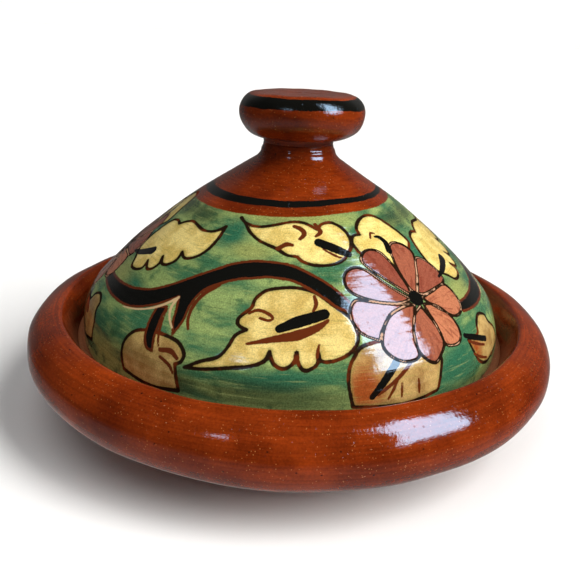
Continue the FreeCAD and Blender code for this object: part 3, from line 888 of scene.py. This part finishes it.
def make_lid(clay):
    """The lid, with a low bead of slip round its neck."""
    turned = Turned(cone_section())
    layers, groove = paint_lid(turned)
    away = ramp(turned.height, LEDGE_HEIGHT, 40) * ramp(NECK_HEIGHT - turned.height, 0, 8)
    relief = away * (waves(turned, 11, 0.25) + lumps(turned, 2, 18.0, 0.4)
                     + throwing_rings(turned, 12, 0.03, 3.5))
    bead_height, bead_width, bead_depth = 110.4, 0.8, 0.3
    bead = bead_depth * np.exp(-((turned.height - bead_height) / bead_width) ** 2)
    bead = bead * (turned.zone[turned.ring] >= LID_OUTSIDE)
    relief = relief + bead - groove
    piece = make_piece("lid", turned, relief, layers, [clay, painted_glaze()])
    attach(piece, "lid")
    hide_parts("lid_cone")


def make_knob(clay):
    """The knob, a little off centre, with a black band between two edges on its shoulder."""
    turned = Turned(knob_section())
    wobble = waves(turned, 31, 0.3, (1, 2, 4, 7))
    outside = turned.zone[turned.ring] >= 1
    band_bottom, band_inner_radius = 128.1, 22.3
    up, out = turned.height - band_bottom, turned.radius - band_inner_radius
    band = np.minimum(up, 1.4 * out) + wobble
    band = np.where(outside, band, FAR)
    free = ramp(turned.height, 114, 120)
    relief = (waves(turned, 32, 0.2) + lumps(turned, 3, 9.0, 0.35)) * free
    piece = make_piece("knob", turned, relief, {"black": band}, [clay, banded_glaze()], free)
    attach(piece, "lid")
    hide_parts("lid_knob")


# ---------------- the stage

def make_floor():
    """A pale floor in two rings, neither of them reflected in the glaze. Only the near one, which
    the pot shades, lights the pot."""
    material, n = new_material("floor")
    paper = n.mix(n.noise(n.millimetres(), 400.0, 2.0), (0.85, 0.85, 0.85), (0.87, 0.87, 0.87))
    shader = n.add("BsdfPrincipled", {"Base Color": paper, "Roughness": 0.9,
                                      "Specular IOR Level": 0.1})
    n.add("OutputMaterial", {"Surface": shader})
    near, far, sides = 0.25, 40.0, 96
    for name, inner, outer in (("floor_near", 0.0, near), ("floor_far", near, far)):
        turns = np.linspace(0, 2 * math.pi, sides + 1)[:-1]
        ring = np.stack([np.cos(turns), np.sin(turns), turns * 0], 1)
        places = np.concatenate([ring * inner, ring * outer]) if inner else ring * outer
        k = np.arange(sides)
        after = (k + 1) % sides
        faces = np.stack([k + sides, after + sides, after, k], 1) if inner else k[None]
        mesh = bpy.data.meshes.new(name)
        mesh.from_pydata(places.tolist(), [], faces.tolist())
        mesh.materials.append(material)
        floor = bpy.data.objects.new(name, mesh)
        bpy.context.scene.collection.objects.link(floor)
        floor.visible_glossy = False
        floor.visible_diffuse = not inner


BACKDROP = 1.05                        # the pale wall, as bright as the floor looks
WARM, COOL = (1.0, 0.985, 0.96), (0.50, 0.72, 0.98)     # the room's light, the windows reflected

# A soft window in the studio: azimuth to the right of the camera's side, elevation, half its
# width and height, all in degrees, how soft its edges are, its brightness, and how far it leans
# to the right for each degree up
Window = namedtuple("Window", "azimuth elevation half_width half_height softness strength lean")
WINDOWS = [Window(72, 43, 18, 21.5, 3, 14.5, 0.45), Window(-32, 42, 5, 5, 2, 6.0, 0.0)]


def room_glow(n, azimuth, elevation, reflected):
    """A faint light from below, and more from the far side, where the glaze reflects little."""
    below = n.between(elevation, -40, -2, 0.27, 0.02)
    behind = n.between(n.math("ABSOLUTE", azimuth), 110, 150, 0.0, 0.5)
    behind = n.math("MULTIPLY", behind, n.math("MULTIPLY_ADD", reflected, -0.82, 1.0))
    low = n.between(n.math("ABSOLUTE", elevation), 25, 45, 1.0, 0.0)
    return n.math("ADD", below, n.math("MULTIPLY", behind, low))


def window_glow(n, azimuth, elevation, window):
    """One window's light: its strength inside, none outside, and soft edges."""
    up = n.math("SUBTRACT", elevation, window.elevation)
    across = n.math("SUBTRACT", azimuth, window.azimuth)
    across = n.math("SUBTRACT", across, n.math("MULTIPLY", up, window.lean))
    parts = []
    for offset, half in ((across, window.half_width), (up, window.half_height)):
        apart = n.math("ABSOLUTE", offset)
        parts.append(n.between(apart, half - window.softness, half + window.softness, 1.0, 0.0))
    return n.math("MULTIPLY", n.math("MULTIPLY", *parts), window.strength)


def light_studio():
    """A room with two soft windows and a paler far side, all round and far away."""
    world = bpy.data.worlds.new("studio")
    world.use_nodes = True
    bpy.context.scene.world = world
    n = Nodes(world.node_tree)
    way = n.add("TexCoord", {}, "Generated")
    x, y, z = (n.add("SeparateXYZ", {0: way}, k) for k in range(3))
    elevation = n.math("DEGREES", n.math("ARCSINE", z))
    azimuth = n.math("DEGREES", n.math("ARCTAN2", x, n.math("MULTIPLY", y, -1.0)))
    seen = n.add("LightPath", {}, "Is Camera Ray")
    reflected = n.add("LightPath", {}, "Is Glossy Ray")
    windows = 0.0
    for window in WINDOWS:
        windows = n.math("ADD", windows, window_glow(n, azimuth, elevation, window))
    light = n.math("ADD", room_glow(n, azimuth, elevation, reflected), windows)
    backdrop = n.math("SUBTRACT", BACKDROP, light)
    light = n.math("ADD", light, n.math("MULTIPLY", seen, backdrop))
    cool = n.math("MULTIPLY", reflected, windows, clamp=True)
    background = n.add("Background", {"Color": n.mix(cool, WARM, COOL), "Strength": light})
    n.add("OutputWorld", {"Surface": background})


def hang_fill_lamp():
    """A wide soft lamp overhead, a little to the left, kept out of the glaze's reflections."""
    lamp = bpy.data.lights.new("fill_lamp", "SUN")
    lamp.energy = 0.8
    lamp.angle = math.radians(50)
    azimuth, elevation = math.radians(-35), math.radians(74)
    towards = Vector((math.cos(elevation) * math.sin(azimuth),
                      -math.cos(elevation) * math.cos(azimuth), math.sin(elevation)))
    holder = bpy.data.objects.new("fill_lamp", lamp)
    holder.rotation_euler = towards.to_track_quat("Z", "Y").to_euler()
    holder.visible_glossy = False
    bpy.context.scene.collection.objects.link(holder)


def place_camera():
    """A close view from a little above, with a slight tilt."""
    place = (0, -0.290, 0.1565)
    yaw, pitch, roll = math.radians(-0.13), math.radians(20.86), math.radians(2.65)
    forward = Vector((math.sin(yaw) * math.cos(pitch), math.cos(yaw) * math.cos(pitch),
                      -math.sin(pitch)))
    right = Vector((math.cos(yaw), -math.sin(yaw), 0))
    up = right.cross(forward)
    side = right * math.cos(roll) + up * math.sin(roll)
    top = up * math.cos(roll) - right * math.sin(roll)
    camera = bpy.data.cameras.new("camera")
    camera.sensor_width = 36
    camera.lens = 42.0
    camera.clip_start = 0.01
    holder = bpy.data.objects.new("camera", camera)
    holder.matrix_world = Matrix.Translation(place) @ Matrix(
        (side, top, -forward)).transposed().to_4x4()
    bpy.context.scene.collection.objects.link(holder)
    bpy.context.scene.camera = holder


clay = bare_clay()
make_dish(clay)
make_lid(clay)
make_knob(clay)
make_floor()
light_studio()
hang_fill_lamp()
place_camera()
bpy.context.scene.view_settings.view_transform = "Standard"
